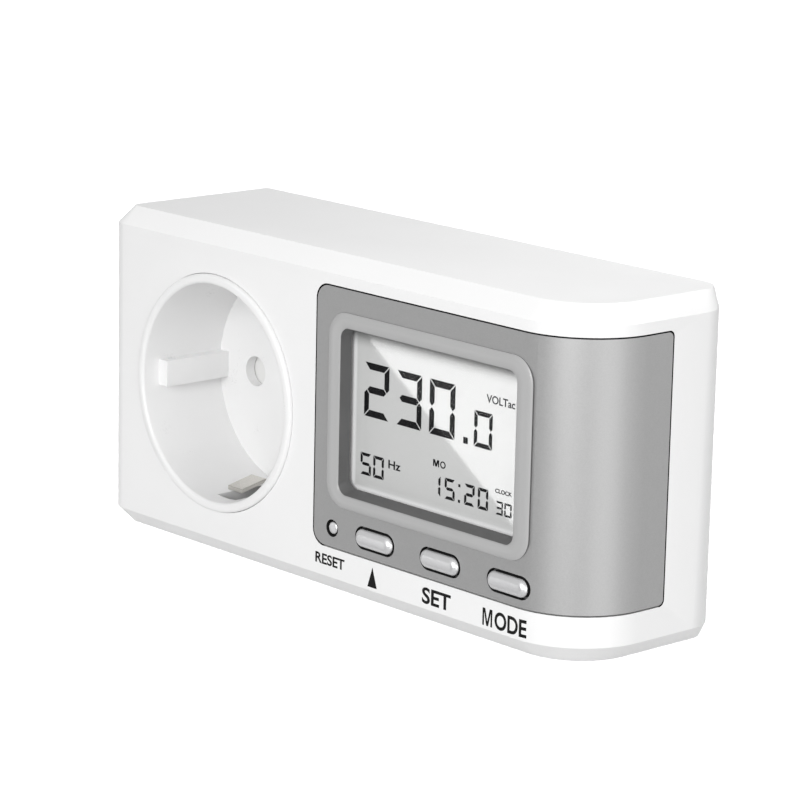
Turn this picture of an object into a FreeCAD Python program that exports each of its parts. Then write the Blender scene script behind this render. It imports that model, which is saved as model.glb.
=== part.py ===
"""Plug-in power meter: a wall plug at the back, an earthed socket and a display unit at the front.

Frame: +Z up, +Y towards the wall, +X along the display. The origin is midway between the two plug pins, on the
end face of the plug base. Depths (d) in the formulas below are measured from the flat front face of the housing.
Lengths are millimetres.
"""

import FreeCAD, Part
import os
import re

import Sketcher

DOC = FreeCAD.newDocument("power_meter")

# Driving dimensions, each a named cell of the sheet.
SIZES = {
    # Housing
    "housing_left": 31.5,          # socket axis to the left end
    "housing_right": 93.0,         # socket axis to the right end
    "housing_height": 60.0,
    "housing_depth": 35.6,
    "wall": 2.4,
    "edge_chamfer": 3.1,
    "left_corner": 5.0,
    "right_corner": 14.0,
    "rear_corner": 8.0,
    "cover_thickness": 2.6,
    "cover_margin": 1.2,           # from the opening in the back to the start of the rear corner
    "fit_gap": 0.1,                # clearance round a fixed insert
    # Pedestal, plug and pins
    "pedestal_radius": 24.5,
    "pedestal_wall": 2.1,
    "pedestal_depth": 11.9,
    "plug_radius": 18.5,
    "plug_depth": 17.5,
    "plug_bevel": 0.6,
    "plug_flange": 2.1,
    "plug_flange_radius": 22.0,
    "pin_radius": 2.4,
    "pin_length": 19.0,
    "pin_spacing": 19.0,
    "pin_tail": 5.3,               # pin length inside the pedestal, ahead of the plug base's wall
    "pin_nose": 1.9,               # rounding of the pin's end
    "collar_radius": 3.4,
    "collar_length": 1.6,
    "pin_clearance": 0.05,
    "guide_width": 6.0,            # side grooves of the plug
    "guide_depth": 2.6,
    # Socket
    "well_radius": 19.9,
    "well_depth": 17.5,
    "well_wall": 1.75,
    "well_floor": 2.0,
    "rim_proud": 0.8,
    "rim_round": 0.6,
    "rib_width": 4.8,
    "rib_reach": 2.5,
    "rib_start": 3.0,
    "pin_hole_radius": 2.8,
    "earth_slot_width": 5.2,
    # Shutter and contacts
    "shutter_inset": 3.0,          # from the carrier's rim to the shutter's
    "shutter_thickness": 1.4,
    "shutter_turn": 35.0,          # degrees from closed to open
    "shutter_gap": 0.2,
    "shutter_rim_gap": 0.6,
    "spring_slot": 8.4,            # length of the return spring's slot
    "spring_slot_outer": 2.8,      # its two sides, inward from the shutter's rim
    "spring_slot_inner": 5.3,
    "spring_radius": 0.6,
    "spring_bore": 0.35,
    "pivot_radius": 1.5,
    "pivot_clearance": 0.06,
    "carrier_inset": 2.9,          # room for the earth strips beside the carrier
    "carrier_plate": 2.0,
    "chamber_length": 8.2,
    "chamber_width": 9.2,
    "chamber_height": 10.0,
    "chamber_wall": 1.0,
    "clip_thickness": 0.6,
    "clip_height": 6.8,
    "clip_gap": 0.3,               # between a plug pin and each leaf
    "strip_thickness": 0.8,
    "strip_width": 4.0,
    "strip_clear": 0.4,            # from the live clip to its strip
    # Earth strips: distances along the depth from the rib, the plug base and the pedestal's face
    "strip_mouth": 2.0,
    "strip_touch": 7.5,
    "strip_foot": 12.5,
    "strip_turn": 3.5,
    "strip_seat": 0.5,
    "strip_contact": 7.5,
    "strip_tip": 1.2,
    # and how far they stand in from the well's wall and out from the groove's bottom
    "strip_lead": 1.7,
    "strip_bow": 2.9,
    "strip_inset": 0.3,
    "strip_rise": 1.1,
    "strip_rest": 0.9,
    "strip_spring": 1.6,
    "strip_dip": 0.4,
    # Fascia and display frame
    "fascia_left": 27.7,
    "fascia_top": 24.85,
    "fascia_bottom": 21.55,
    "fascia_end": 20.2,            # depth where it ends on the right side
    "fascia_thickness": 1.2,
    "fascia_corner": 2.8,
    "fascia_end_corner": 1.0,
    "frame_left": 31.1,
    "frame_right": 81.4,
    "frame_top": 20.7,
    "frame_bottom": 13.9,
    "frame_proud": 0.5,
    "frame_corner": 4.5,
    "frame_round": 0.4,
    "window_left": 34.2,
    "window_right": 77.8,
    "window_top": 18.0,
    "window_bottom": 11.5,
    "window_corner": 2.0,
    "sleeve_wall": 1.2,
    "sleeve_past": 0.1,            # how far the window's seat lies behind the wall
    "lens_lip": 1.6,
    "lens_thickness": 0.8,
    # Liquid crystal cell and its holder
    "cell_lip": 0.9,
    "cell_thickness": 2.6,
    "reflector_thickness": 0.8,
    "zebra_height": 1.8,
    "holder_wall": 1.7,
    # Boards
    "display_board_depth": 9.5,
    "board_thickness": 1.6,
    "board_half_height": 21.2,
    "board_right": 82.0,
    "display_board_left": 29.6,
    "power_board_left": 23.6,
    "power_board_depth": 27.6,
    # On the display board
    "controller_place": 55.0,
    "controller_level": 2.0,
    "controller_size": 10.0,
    "controller_thickness": 1.6,
    "crystal_place": 65.75,
    "crystal_level": 6.0,          # below the socket axis
    "crystal_length": 6.5,
    "crystal_radius": 1.1,
    "battery_place": 70.0,
    "battery_level": 8.0,
    "battery_radius": 5.8,
    "battery_thickness": 5.2,
    "battery_gap": 0.6,
    "clip_strap": 0.4,
    "clip_leg": 0.6,
    "clip_strap_width": 4.0,
    "link_place": 44.05,
    "link_level": 17.2,
    "link_pitch": 2.54,
    "link_radius": 0.32,
    "link_hole": 0.4,
    "link_length": 2.6,
    "link_margin": 1.3,
    # On the power board; heights are towards the front
    "film_place": 49.0,
    "film_level": 16.0,            # below the socket axis
    "film_length": 18.0,
    "film_width": 8.0,
    "film_height": 12.6,
    "film_round": 0.8,
    "reservoir_place": 66.0,
    "reservoir_level": 13.0,       # below the socket axis
    "reservoir_radius": 4.0,
    "reservoir_height": 11.6,
    "reservoir_round": 0.5,
    "meter_chip_place": 49.0,
    "meter_chip_level": 5.0,
    "meter_chip_length": 10.0,
    "meter_chip_width": 6.0,
    "meter_chip_height": 1.75,
    "varistor_place": 38.0,
    "varistor_level": 4.0,
    "varistor_radius": 5.5,
    "varistor_thickness": 4.0,
    "varistor_height": 6.6,
    "varistor_lead": 0.8,
    "varistor_lead_spacing": 5.2,
    "varistor_lead_length": 4.0,
    "dropper_place": 66.5,
    "dropper_level": 4.0,
    "dropper_length": 11.0,
    "dropper_radius": 2.2,
    "dropper_height": 2.6,
    "dropper_wire": 0.35,
    "dropper_span": 16.0,
    "dropper_wire_inset": 0.3,
    "shunt_height": 4.6,
    "shunt_thickness": 0.8,
    "shunt_bottom": 1.0,           # below the socket axis
    "shunt_top": 6.6,
    # Buttons
    "button_drop": 18.0,           # below the socket axis
    "button_first": 43.8,
    "button_pitch": 16.5,
    "button_length": 9.3,
    "button_height": 3.3,
    "button_gap": 0.4,
    "button_proud": 0.9,
    "button_round": 1.2,
    "button_travel": 0.7,
    "button_lip": 0.9,
    "button_lip_thickness": 0.8,
    "stem_radius": 1.2,
    "reset_place": 32.7,
    "reset_radius": 1.15,
    "reset_sunk": 0.1,
    "reset_stem_radius": 1.08,
    "switch_size": 5.0,
    "switch_thickness": 1.6,
    "plunger_radius": 1.0,
    "plunger_length": 1.4,
    "plunger_gap": 0.08,
    # Screws, bosses and pillars
    "boss_radius": 3.0,
    "boss_left": 26.3,
    "boss_right": 79.0,
    "boss_height": 24.5,
    "screw_radius": 1.4,
    "screw_length": 12.0,
    "screw_head_radius": 2.3,
    "screw_head": 1.3,
    "screw_hole_gap": 0.3,
    "thread_gap": 0.05,
    "cross_reach": 0.7,            # arms of the cross slot, as shares of the head's radius
    "cross_width": 0.28,
    "post_radius": 2.3,
    "post_near": 27.2,
    "post_far": 79.0,
    "post_height": 18.6,
    "board_screw_radius": 0.9,
    "board_screw_length": 4.8,
    "pillar_radius": 1.9,
    "pillar_near": 32.0,
    "pillar_far": 79.6,
    "pillar_height": 11.5,
}

# Places worked out from the driving dimensions.
PLACES = {
    "face": "-(housing_depth + pedestal_depth + plug_depth)",
    "half_height": "housing_height / 2",
    "shoulder": "half_height - edge_chamfer",
    "inner_left": "wall - housing_left",
    "inner_right": "housing_right - wall",
    "inner_half": "half_height - wall",
    "cover_front": "housing_depth - cover_thickness",
    "cover_right": "housing_right - rear_corner - cover_margin",
    "seat": "housing_depth + pedestal_depth",
    "plug_end": "seat + plug_depth",
    "bore": "pedestal_radius - pedestal_wall",
    "base_front": "seat - pedestal_wall - plug_flange",
    "pin_place": "pin_spacing / 2",
    "pin_start": "base_front - pin_tail + plug_flange",
    "cup_radius": "well_radius + well_wall",
    "floor_back": "well_depth + well_floor",
    "carrier_radius": "well_radius - carrier_inset",
    "shutter_radius": "carrier_radius - shutter_inset",
    "shutter_front": "floor_back + shutter_gap",
    "shutter_back": "shutter_front + shutter_thickness",
    "carrier_front": "shutter_back + shutter_gap",
    "carrier_back": "carrier_front + carrier_plate",
    "chamber_back": "carrier_back + chamber_length",
    "leaf": "pin_radius + clip_gap",
    "clip_outer": "leaf + clip_thickness",
    "clip_back": "chamber_back + fit_gap + clip_thickness",
    "sleeve_left": "window_left - sleeve_wall",
    "sleeve_right": "window_right + sleeve_wall",
    "sleeve_top": "window_top + sleeve_wall",
    "sleeve_bottom": "window_bottom + sleeve_wall",
    "lens_left": "window_left - lens_lip",
    "lens_right": "window_right + lens_lip",
    "lens_top": "window_top + lens_lip",
    "lens_bottom": "window_bottom + lens_lip",
    "cell_left": "window_left - cell_lip",
    "cell_right": "window_right + cell_lip",
    "cell_top": "window_top + cell_lip",
    "cell_bottom": "window_bottom + cell_lip",
    "sleeve_depth": "wall + sleeve_past",
    "lens_back": "sleeve_depth + lens_thickness",
    "cell_back": "lens_back + cell_thickness",
    "display_board_back": "display_board_depth + board_thickness",
    "power_board_back": "power_board_depth + board_thickness",
    "switch_front": "display_board_depth - switch_thickness",
    "plunger_front": "switch_front - button_travel - plunger_gap",
    "holder_left": "lens_left - holder_wall",
    "holder_right": "lens_right + holder_wall",
    "holder_top": "lens_top + holder_wall",
    "holder_bottom": "lens_bottom + holder_wall",
    "lip_length": "button_length + 2 * button_lip",
    "lip_height": "button_height + 2 * button_lip",
    "hole_length": "button_length + 2 * button_gap",
    "hole_height": "button_height + 2 * button_gap",
    "reset_hole": "reset_radius + button_gap",
}

SHEET = DOC.addObject("Spreadsheet::Sheet", "sizes")
for row, (name, number) in enumerate(SIZES.items(), 1):
    SHEET.set(f"A{row}", name)
    SHEET.set(f"B{row}", str(number))
    SHEET.setAlias(f"B{row}", name)
DOC.recompute()

PARTS = []
TOUCH = 0.001


def tie(formula):
    """The formula with every place worked out and every size read from the sheet."""
    def cell(match):
        word = match.group(0)
        if word in PLACES:
            return f"({tie(PLACES[word])})"
        return f"sizes.{word}" if word in SIZES else word
    return re.sub(r"[a-z_]+", cell, formula)


def value(formula):
    """The formula's present value as a plain number."""
    result = SHEET.evalExpression(tie(formula))
    return float(getattr(result, "Value", result))


def edges_in(shape, x=None, d=None, z=None):
    """Names of the edges that lie wholly in every plane asked for."""
    face = value("face")
    names = []
    for number, edge in enumerate(shape.Edges, 1):
        box = edge.BoundBox
        spans = ((x, box.XMin, box.XMax), (d, box.YMin - face, box.YMax - face), (z, box.ZMin, box.ZMax))
        inside = all(
            plane is None or max(abs(low - value(plane)), abs(high - value(plane))) < TOUCH
            for plane, low, high in spans
        )
        if inside:
            names.append(f"Edge{number}")
    return names


class Piece:
    """One body, made of blocks, rods and outlines that follow the sheet."""

    def __init__(self, label, keep=True):
        self.body = DOC.addObject("PartDesign::Body", label)
        self.body.Label = label
        if keep:
            PARTS.append(self.body)

    def solid(self, kind, cut, bound, x, d, z, turn=None):
        """A box or cylinder whose sizes and place are bound to formulas."""
        made = self.body.newObject(f"PartDesign::{'Subtractive' if cut else 'Additive'}{kind}", kind)
        if turn is not None:
            made.Placement = FreeCAD.Placement(FreeCAD.Vector(), turn)
        for field, formula in bound.items():
            made.setExpression(field, tie(formula))
        for axis, formula in (("x", x), ("y", f"face + {d}"), ("z", z)):
            made.setExpression(f".Placement.Base.{axis}", tie(formula))
        DOC.recompute()
        return self

    def block(self, x, d, z, cut=False):
        """A box between two formulas on each axis."""
        bound = {side: f"({far}) - ({near})" for side, (near, far) in zip(("Length", "Width", "Height"), (x, d, z))}
        return self.solid("Box", cut, bound, x[0], d[0], z[0])

    def rod(self, x, z, d, radius, cut=False):
        """A cylinder along the depth, from d[0] to d[1]."""
        turn = FreeCAD.Rotation(FreeCAD.Vector(1, 0, 0), -90)
        bound = {"Radius": radius, "Height": f"{d[1]} - ({d[0]})"}
        return self.solid("Cylinder", cut, bound, x, d[0], z, turn)

    def cross_rod(self, x, d, z, radius, cut=False):
        """A cylinder along X, from x[0] to x[1]."""
        turn = FreeCAD.Rotation(FreeCAD.Vector(0, 1, 0), 90)
        bound = {"Radius": radius, "Height": f"{x[1]} - ({x[0]})"}
        return self.solid("Cylinder", cut, bound, x[0], d, z, turn)

    def pill(self, x, z, length, height, d, cut=False):
        """A bar with round ends along X, centred at x, z."""
        reach = f"(({length}) - ({height})) / 2"
        self.block((f"{x} - {reach}", f"{x} + {reach}"), d,
                   (f"{z} - ({height}) / 2", f"{z} + ({height}) / 2"), cut)
        for side in "-+":
            self.rod(f"{x} {side} {reach}", z, d, f"({height}) / 2", cut)
        return self

    def dress(self, kind, field, formula, names):
        """A fillet or chamfer on the named edges of the body's present shape."""
        tip = self.body.Tip
        made = self.body.newObject(f"PartDesign::{kind}", kind)
        made.Base = (tip, names)
        made.setExpression(field, tie(formula))
        DOC.recompute()
        return self

    def round(self, radius, *planes):
        """Fillet the edges that lie in each group of planes, such as {"x": "0", "z": "wall"}."""
        names = [name for plane in planes for name in edges_in(self.body.Tip.Shape, **plane)]
        return self.dress("Fillet", "Radius", radius, sorted(set(names)))

    def bevel(self, size, *planes):
        names = [name for plane in planes for name in edges_in(self.body.Tip.Shape, **plane)]
        return self.dress("Chamfer", "Size", size, sorted(set(names)))

    def round_corners(self, radius, x, z):
        """Fillet the four edges along the depth where x and z planes meet."""
        return self.round(radius, *({"x": side, "z": level} for side in x for level in z))

    def outline(self, points, role, offset):
        """A closed sketch. Each point is (across, up, arc), where arc is None before a straight run, or the radius
        of the arc that follows the point, with "right " before it where the arc's centre is on the right."""
        sketch = self.body.newObject("Sketcher::SketchObject", "Outline")
        plane = next(item for item in self.body.Origin.OriginFeatures if item.Role == role)
        sketch.AttachmentSupport = [(plane, "")]
        sketch.MapMode = "FlatFace"
        sketch.setExpression(".AttachmentOffset.Base.z", tie(offset))
        spots = [FreeCAD.Vector(value(across), value(up), 0) for across, up, _ in points]
        count = len(points)
        first, last = [1] * count, [2] * count
        for number, (_, _, arc) in enumerate(points):
            start, end = spots[number], spots[(number + 1) % count]
            if arc is None:
                sketch.addGeometry(Part.LineSegment(start, end))
            elif arc.startswith("right "):
                sketch.addGeometry(arc_between(end, start, value(arc[6:])))
                first[number], last[number] = 2, 1
            else:
                sketch.addGeometry(arc_between(start, end, value(arc)))
        for number, (across, up, arc) in enumerate(points):
            following = (number + 1) % count
            sketch.addConstraint(Sketcher.Constraint("Coincident", number, last[number], following, first[following]))
            for kind, formula in (("DistanceX", across), ("DistanceY", up)):
                index = sketch.addConstraint(
                    Sketcher.Constraint(kind, -1, 1, number, first[number], value(formula)))
                sketch.setExpression(f"Constraints[{index}]", tie(formula))
            if arc is not None:
                radius = arc.removeprefix("right ")
                index = sketch.addConstraint(Sketcher.Constraint("Radius", number, value(radius)))
                sketch.setExpression(f"Constraints[{index}]", tie(radius))
        DOC.recompute()
        return sketch

    def pad(self, points, role, start, length):
        made_from = self.outline(points, role, start)
        made = self.body.newObject("PartDesign::Pad", "Pad")
        made.Profile = made_from
        made.setExpression("Length", tie(length))
        DOC.recompute()
        return self

    def pocket(self, points, role, start, length):
        """Cut from the sketch plane back against its normal."""
        before = self.body.Tip.Shape.Volume
        made_from = self.outline(points, role, start)
        made = self.body.newObject("PartDesign::Pocket", "Pocket")
        made.Profile = made_from
        made.setExpression("Length", tie(length))
        DOC.recompute()
        if made.Shape.Volume >= before - TOUCH:
            raise ValueError(f"a pocket of {self.body.Label} cuts nothing")
        return self

    def loft(self, first, first_level, second, second_level):
        """A ruled loft between two outlines at two heights."""
        lower = self.outline(first, "XY_Plane", first_level)
        upper = self.outline(second, "XY_Plane", second_level)
        made = self.body.newObject("PartDesign::AdditiveLoft", "Loft")
        made.Profile = lower
        made.Sections = [upper]
        made.Ruled = True
        DOC.recompute()
        return self


def arc_between(start, end, radius):
    """The short anticlockwise arc of this radius from start to end."""
    middle = (start + end) * 0.5
    chord = end - start
    rise = (radius ** 2 - (chord.Length / 2) ** 2) ** 0.5
    centre = middle + FreeCAD.Vector(-chord.y, chord.x, 0) * (rise / chord.Length)
    circle = Part.Circle(centre, FreeCAD.Vector(0, 0, 1), radius)
    return Part.ArcOfCircle(circle, circle.parameter(start), circle.parameter(end))


def group(label, bodies):
    """Identical loose pieces kept as one sub-part."""
    made = DOC.addObject("Part::Compound", label)
    made.Links = [piece.body for piece in bodies]
    PARTS.append(made)


def housing_outline(inset):
    """The housing in plan, anticlockwise from the rear left corner; the back edge never moves in."""
    left = f"{inset} - housing_left"
    right = f"housing_right - {inset}"
    front = f"face + {inset}"
    back = "face + housing_depth"
    near = f"left_corner - {inset}"
    far = f"right_corner - {inset}"
    rear = f"rear_corner - {inset}"
    return [
        (left, back, None),
        (left, "face + left_corner", near),
        ("left_corner - housing_left", front, None),
        ("housing_right - right_corner", front, far),
        (right, "face + right_corner", None),
        (right, f"{back} - ({rear})", rear),
        ("housing_right - rear_corner", back, None),
    ]


def button_places():
    """Name and place along X of each long button."""
    return [(name, f"(button_first + {step} * button_pitch)") for step, name in enumerate(("up", "set", "mode"))]


def cut_button_holes(piece, d):
    for _, x in button_places():
        piece.pill(x, "-button_drop", "hole_length", "hole_height", d, cut=True)
    piece.rod("reset_place", "-button_drop", d, "reset_hole", cut=True)


def boss_places():
    return [(x, z) for x in ("-boss_left", "boss_right") for z in ("-boss_height", "boss_height")]


def front_shell():
    shell = Piece("front_shell")
    shell.pad(housing_outline("0"), "XY_Plane", "-shoulder", "2 * shoulder")
    for side in ("", "-"):
        shell.loft(housing_outline("0"), f"{side}shoulder", housing_outline("edge_chamfer"), f"{side}half_height")
    back = "face + housing_depth"
    side_end = "face + housing_depth - rear_corner + wall / 2"
    shell.pocket([
        ("inner_left", back, None),
        ("inner_left", "face + left_corner", "left_corner - wall"),
        ("left_corner - housing_left", "face + wall", None),
        ("housing_right - right_corner", "face + wall", "right_corner - wall"),
        ("inner_right", "face + right_corner", None),
        ("inner_right", side_end, None),
        ("cover_right", side_end, None),
        ("cover_right", back, None),
    ], "XY_Plane", "inner_half", "2 * inner_half")
    recess_in_front_wall(shell)
    shell.rod("0", "0", ("-wall", "2 * wall"), "cup_radius + fit_gap", cut=True)
    sleeve_opening(shell, ("0", "wall"), "fit_gap")
    cut_button_holes(shell, ("0", "2 * wall"))
    for _, x in button_places():
        shell.pill(x, "-button_drop", "lip_length + 2 * fit_gap", "lip_height + 2 * fit_gap", ("wall", "2 * wall"),
                   cut=True)
    shell.block(("holder_left - fit_gap", "holder_right + fit_gap"), ("wall", "2 * wall"),
                ("-(holder_bottom + fit_gap)", "holder_top + fit_gap"), cut=True)
    for x, z in boss_places():
        shell.rod(x, z, ("wall - fit_gap - fascia_thickness / 2", "cover_front"), "boss_radius")
        shell.rod(x, z, ("cover_front - screw_length", "cover_front"), "screw_radius + thread_gap", cut=True)


def recess_in_front_wall(shell):
    """The shallow seat of the fascia, which wraps round the right front corner."""
    sunk = "(fascia_thickness + fit_gap)"
    outside = "housing_right + wall"
    left = "fascia_left - fit_gap"
    end = "fascia_end + fit_gap"
    shell.pocket([
        (left, "face - wall", None),
        (left, f"face + {sunk}", None),
        ("housing_right - right_corner", f"face + {sunk}", f"right_corner - {sunk}"),
        (f"housing_right - {sunk}", "face + right_corner", None),
        (f"housing_right - {sunk}", f"face + {end}", None),
        (outside, f"face + {end}", None),
        (outside, "face - wall", None),
    ], "XY_Plane", "fascia_top + fit_gap", "fascia_top + fascia_bottom + 2 * fit_gap")
    levels = ("fascia_top + fit_gap", "-(fascia_bottom + fit_gap)")
    shell.round_corners("fascia_corner + fit_gap", (left,), levels)
    shell.round("fascia_end_corner + fit_gap", *({"d": end, "z": level} for level in levels))


def sleeve_opening(piece, d, gap):
    """The opening that the display frame's sleeve passes through."""
    x = (f"sleeve_left - {gap}", f"sleeve_right + {gap}")
    z = (f"-(sleeve_bottom + {gap})", f"sleeve_top + {gap}")
    outline = rounded_rectangle(x, z, f"(window_corner + {gap})")
    piece.pocket(outline, "XZ_Plane", f"-(face + {d[0]})", f"{d[1]} - ({d[0]})")


def rounded_rectangle(x, z, radius):
    """The outline of an upright plate, anticlockwise seen from the front."""
    left, right = x
    low, high = z
    return [
        (left, f"{high} - {radius}", None),
        (left, f"{low} + {radius}", radius),
        (f"{left} + {radius}", low, None),
        (f"{right} - {radius}", low, radius),
        (right, f"{low} + {radius}", None),
        (right, f"{high} - {radius}", radius),
        (f"{right} - {radius}", high, None),
        (f"{left} + {radius}", high, radius),
    ]


def rear_cover():
    cover = Piece("rear_cover")
    cover.block(("inner_left + fit_gap", "cover_right - fit_gap"), ("cover_front", "housing_depth"),
                ("fit_gap - inner_half", "inner_half - fit_gap"))
    cover.rod("0", "0", ("cover_front", "seat"), "pedestal_radius")
    cover.round("wall / 2", {"d": "seat"})
    cover.rod("0", "0", ("cover_front", "seat - pedestal_wall"), "bore", cut=True)
    cover.rod("0", "0", ("housing_depth", "seat"), "plug_radius + fit_gap", cut=True)
    for x, z in boss_places():
        cover.rod(x, z, ("cover_front", "housing_depth"), "screw_radius + screw_hole_gap", cut=True)
        cover.rod(x, z, ("housing_depth - screw_head - fit_gap", "housing_depth"),
                  "screw_head_radius + screw_hole_gap", cut=True)
    for x, z in post_places():
        cover.rod(x, z, ("power_board_back", "cover_front"), "post_radius")
        cover.rod(x, z, ("power_board_back", "cover_front"), "board_screw_radius + thread_gap", cut=True)


def post_places():
    return [(x, z) for x in ("post_near", "post_far") for z in ("-post_height", "post_height")]


def pillar_places():
    return [(x, z) for x in ("pillar_near", "pillar_far") for z in ("-pillar_height", "pillar_height")]


def screw(label, x, z, head, tip, shank, head_radius, head_length):
    """A screw along the depth whose head faces away from its tip, with a slot across the head."""
    made = Piece(label, keep=False)
    away = "-" if value(head) < value(tip) else "+"
    top = f"({head}) {away} ({head_length})"
    low, high = (top, head) if away == "-" else (head, top)
    made.rod(x, z, (low, high), head_radius)
    start, end = (head, tip) if away == "-" else (tip, head)
    made.rod(x, z, (start, end), shank)
    sunk = f"({head}) {away} ({head_length}) / 2"
    slot = (top, sunk) if away == "-" else (sunk, top)
    long, short = f"({head_radius}) * cross_reach", f"({head_radius}) * cross_width / 2"
    made.block((f"{x} - {long}", f"{x} + {long}"), slot, (f"{z} - {short}", f"{z} + {short}"), cut=True)
    made.block((f"{x} - {short}", f"{x} + {short}"), slot, (f"{z} - {long}", f"{z} + {long}"), cut=True)
    return made


def screws():
    seat = "housing_depth - screw_head"
    group("case_screws", [
        screw("case_screw", x, z, seat, f"{seat} - screw_length", "screw_radius", "screw_head_radius", "screw_head")
        for x, z in boss_places()
    ])
    group("board_screws", [
        screw("board_screw", x, z, "power_board_depth", "power_board_depth + board_screw_length",
              "board_screw_radius", "post_radius - fit_gap", "screw_head")
        for x, z in post_places()
    ])


def socket_insert():
    cup = Piece("socket_insert")
    cup.rod("0", "0", ("-rim_proud", "floor_back"), "cup_radius")
    cup.rod("0", "0", ("-rim_proud", "well_depth"), "well_radius", cut=True)
    cup.round("rim_round", {"d": "-rim_proud"})
    for side in "-+":
        near = f"{side}(well_radius - rib_reach)"
        far = f"{side}(well_radius + well_wall / 2)"
        x = (near, far) if side == "+" else (far, near)
        cup.block(x, ("rib_start", "well_depth"), ("-rib_width / 2", "rib_width / 2"))
        cup.rod(f"{side}pin_place", "0", ("well_depth", "floor_back"), "pin_hole_radius", cut=True)
        inner = f"{side}(well_radius - well_wall / 2)"
        outer = f"{side}(cup_radius + well_wall)"
        z = (inner, outer) if side == "+" else (outer, inner)
        cup.block(("-earth_slot_width / 2", "earth_slot_width / 2"), ("rib_start", "floor_back"), z, cut=True)


def shutter():
    disc = Piece("shutter_disc")
    d = ("shutter_front", "shutter_back")
    disc.rod("0", "0", d, "shutter_radius")
    disc.rod("0", "0", d, "pivot_radius + pivot_clearance", cut=True)
    for side in "-+":
        disc.rod(f"{side}(pin_place * cos(shutter_turn))", f"{side}(pin_place * sin(shutter_turn))", d,
                 "pin_hole_radius", cut=True)
    disc.block(("-spring_slot / 2", "spring_slot / 2"), d,
               ("spring_slot_outer - shutter_radius", "spring_slot_inner - shutter_radius"), cut=True)
    spring = Piece("shutter_spring")
    middle = "(shutter_front + shutter_back) / 2"
    level = "(spring_slot_outer + spring_slot_inner) / 2 - shutter_radius"
    reach = ("fit_gap - spring_slot / 2", "spring_slot / 2 - fit_gap")
    spring.cross_rod(reach, middle, level, "spring_radius")
    spring.cross_rod(reach, middle, level, "spring_bore", cut=True)


def contact_carrier():
    carrier = Piece("contact_carrier")
    carrier.rod("0", "0", ("floor_back + fit_gap", "carrier_back"), "carrier_radius")
    carrier.rod("0", "0", ("floor_back + fit_gap", "carrier_front"), "shutter_radius + shutter_rim_gap", cut=True)
    carrier.rod("0", "0", ("floor_back + fit_gap", "carrier_front"), "pivot_radius")
    for side in "-+":
        x = f"{side}pin_place"
        carrier.block((f"{x} - chamber_width / 2", f"{x} + chamber_width / 2"), ("carrier_back", "chamber_back"),
                      ("-chamber_height / 2", "chamber_height / 2"))
        inner = "(chamber_width / 2 - chamber_wall)"
        carrier.block((f"{x} - {inner}", f"{x} + {inner}"), ("carrier_back", "chamber_back"),
                      ("chamber_wall - chamber_height / 2", "chamber_height / 2 - chamber_wall"), cut=True)
        carrier.rod(x, "0", ("carrier_front", "carrier_back"), "pin_hole_radius", cut=True)


def contact_clips():
    for name, side, ear in (("contact_clip_neutral", "-", "0"), ("contact_clip_live", "+", "strip_width")):
        x = f"{side}pin_place"
        clip = Piece(name)
        clip.block((f"{x} - clip_outer", f"{x} + clip_outer"), ("clip_back - clip_thickness", "clip_back"),
                   ("-clip_height / 2", f"clip_height / 2 + {ear}"))
        for hand in "-+":
            edges = sorted((f"{x} {hand} leaf", f"{x} {hand} clip_outer"), key=value)
            clip.block(edges, ("carrier_back + fit_gap", "clip_back"), ("-clip_height / 2", "clip_height / 2"))


def plug():
    base = Piece("plug_base")
    base.rod("0", "0", ("base_front", "plug_end"), "plug_radius")
    base.bevel("plug_bevel", {"d": "plug_end"})
    base.rod("0", "0", ("base_front", "base_front + plug_flange"), "plug_flange_radius")
    tip = "plug_end - plug_flange"
    for side in "-+":
        base.rod(f"{side}pin_place", "0", ("base_front", "plug_end"), "pin_radius + pin_clearance", cut=True)
        x = sorted((f"{side}(plug_radius - guide_depth)", f"{side}(plug_radius + wall)"), key=value)
        base.block(x, ("seat", "plug_end"), ("-guide_width / 2", "guide_width / 2"), cut=True)
        z = sorted((f"{side}(plug_radius - guide_depth)", f"{side}(plug_flange_radius + wall)"), key=value)
        base.block(("-earth_slot_width / 2", "earth_slot_width / 2"), ("base_front", tip), z, cut=True)
    for name, side in (("plug_pin_neutral", "-"), ("plug_pin_live", "+")):
        pin = Piece(name)
        pin.rod(f"{side}pin_place", "0", ("pin_start", "plug_end + pin_length"), "pin_radius")
        pin.round("pin_nose", {"d": "plug_end + pin_length"})
        pin.rod(f"{side}pin_place", "0", ("base_front - collar_length", "base_front"), "collar_radius")


def earth_strips():
    """A springy strip at the top and one at the bottom, each from the socket's well to the plug's side."""
    groove = "plug_radius - guide_depth"
    lower = [
        ("rib_start + strip_mouth", "well_radius - strip_lead"),
        ("rib_start + strip_touch", "well_radius - strip_bow"),
        ("rib_start + strip_foot", "well_radius - strip_inset"),
        ("base_front - strip_turn", "well_radius - strip_inset"),
        ("base_front - strip_inset", f"{groove} + strip_rise"),
        ("seat - strip_seat", f"{groove} + strip_rest"),
        ("seat + strip_contact", f"{groove} + strip_spring"),
        ("plug_end - plug_flange - strip_tip", f"{groove} + strip_dip"),
    ]
    path = lower + [(along, f"{up} + strip_thickness") for along, up in reversed(lower)]
    for name, side in (("earth_strip_top", ""), ("earth_strip_bottom", "-")):
        strip = Piece(name)
        points = [(f"face + {along}", f"{side}({up})", None) for along, up in path]
        strip.pad(points, "YZ_Plane", "-strip_width / 2", "strip_width")


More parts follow.
